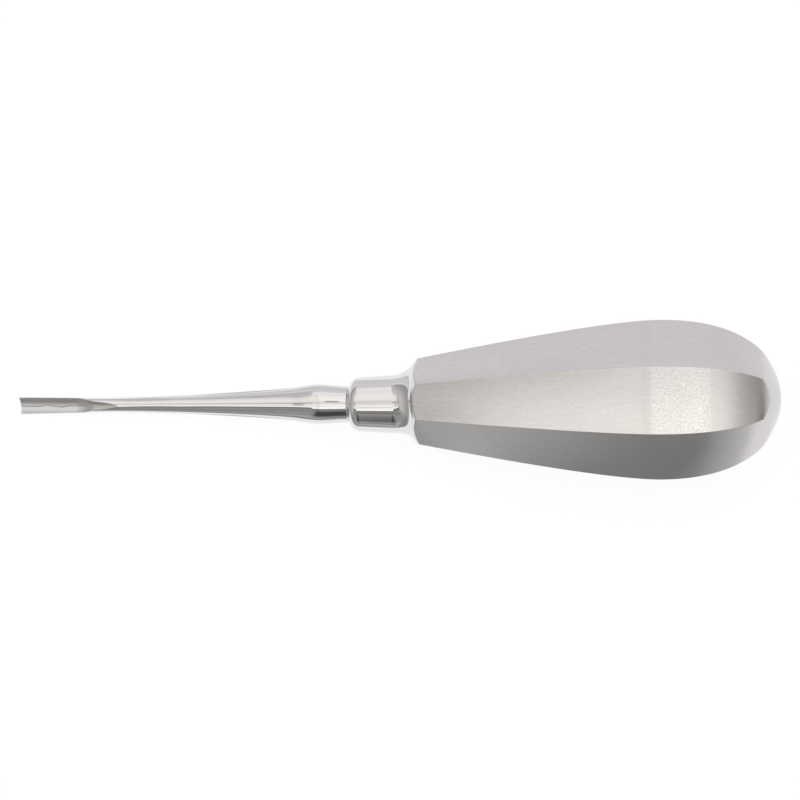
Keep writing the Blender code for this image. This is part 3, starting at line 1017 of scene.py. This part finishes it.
def studioFloor():
    bpy.ops.mesh.primitive_plane_add(size=table["span"] * mm, location=(0.0, 0.0, cadBox[0][2]))
    floor = bpy.context.object
    floor.name = "studioFloor"
    material = bpy.data.materials.new("whiteTable")
    tree = emptyTree(material)
    start = Link(tree)
    matt = start.node("ShaderNodeBsdfDiffuse", {}, {"Color": (*table["paint"], 1.0)})
    glow = start.node("ShaderNodeEmission", {}, {"Color": (1.0, 1.0, 1.0, 1.0), "Strength": 1.0})
    rays = start.node("ShaderNodeLightPath", output="Is Camera Ray")

    where = start.node("ShaderNodeTexCoord", output="Object")
    parts = where.node("ShaderNodeSeparateXYZ", {}, {0: where})
    x, y = parts * (1 / mm), parts.other("Y") * (1 / mm)
    nearPoint, farPoint = table["roundFrom"]
    middle = nearPoint + y.math("GREATER_THAN", 0.0) * (farPoint - nearPoint)
    sideTone = toneRamp(y.math("ARCTAN2", x - middle) * perRadian, table["sides"])

    near, far = table["strip"]
    nearSoft, farSoft = table["stripSoftness"]
    far = table["stripAtTip"] + x.smooth(*table["stripWidens"]) * (far - table["stripAtTip"])
    past = y - far
    border = past.smooth(0, table["lineSoftness"])
    border = border * (1.0 - past.smooth(table["lineWidth"], table["lineWidth"] * 2))
    border = border * (1.0 - x.smooth(*table["lineFade"]))
    sideTone = sideTone.towards(table["lineTone"], border)
    leaning = y - x.math("MINIMUM", table["leanTo"]) * table["stripLean"]
    beyond = past.smooth(0, farSoft)
    beside = beyond + 1.0 - leaning.smooth(near - nearSoft, near)
    (shadeX, shadeY), inner, outer, depth = table["shade"]
    reach = (x - shadeX) ** 2.0 + (y - shadeY) ** 2.0
    shaded = 1.0 - (1.0 - reach.smooth(inner**2, outer**2)) * depth
    tone = (toneRamp(x, table["stripTone"]) * shaded).towards(sideTone, beside)
    tint = beyond.blend((1.0, 1.0, 1.0), lavender)
    seenInSteel = tone.node("ShaderNodeEmission", {}, {"Color": tint, "Strength": tone})

    shown = rays.node("ShaderNodeMixShader", {}, {0: rays * table["whiteness"], 1: matt, 2: glow})
    through = rays.other("Is Transmission Ray")
    mirrored = rays.other("Is Glossy Ray").math("ADD", through, clamp=True)
    mixed = rays.node("ShaderNodeMixShader", {}, {0: mirrored, 1: shown, 2: seenInSteel})
    tree.links.new(mixed.socket, tree.nodes.new("ShaderNodeOutputMaterial").inputs["Surface"])
    floor.data.materials.append(material)


lamp = {
    "watts": 4.0,
    "size": (0.7, 0.5),  # metres
    "place": (-0.05, 0.12, 0.75),
}


def studioLamp():
    light = bpy.data.lights.new("ceiling", "AREA")
    light.shape = "RECTANGLE"
    light.size, light.size_y = lamp["size"]
    light.energy = lamp["watts"]
    obj = bpy.data.objects.new("ceiling", light)
    obj.location = lamp["place"]
    _, aside, up = lamp["place"]
    obj.rotation_euler = (math.atan2(-aside, up), 0.0, 0.0)  # faces the tool's line
    obj.visible_glossy = False
    stageColl.objects.link(obj)


camera = {
    "over": 73.9,  # station under the middle of the picture
    "height": 415.6,  # above the tool's axis there
    "aside": 8.0,  # towards the top of the picture
    "lens": 99.0,
    "sensor": 36.0,
    "rollDegrees": 0.57,
    "rise": -0.22,  # where the axis passes the middle of the picture, above it
}


def studioCamera():
    data = bpy.data.cameras.new("photoCamera")
    data.lens = camera["lens"]
    data.sensor_width = camera["sensor"]
    obj = bpy.data.objects.new("photoCamera", data)
    stageColl.objects.link(obj)
    target = toWorld @ Vector((camera["over"] * mm, 0.0, 0.0))
    eye = target + Vector((0.0, camera["aside"] * mm, camera["height"] * mm))
    target.y -= camera["rise"] * mm
    back = (eye - target).normalized()
    right = Vector((1.0, 0.0, 0.0))
    up = back.cross(right).normalized()
    turned = Matrix((right, up, back)).transposed().to_4x4()
    roll = Matrix.Rotation(math.radians(-camera["rollDegrees"]), 4, "Z")
    obj.matrix_world = Matrix.Translation(eye) @ turned @ roll
    bpy.context.scene.camera = obj


studioWorld()
studioFloor()
studioLamp()
studioCamera()
bpy.context.scene.view_settings.view_transform = "Standard"
print("studio made")
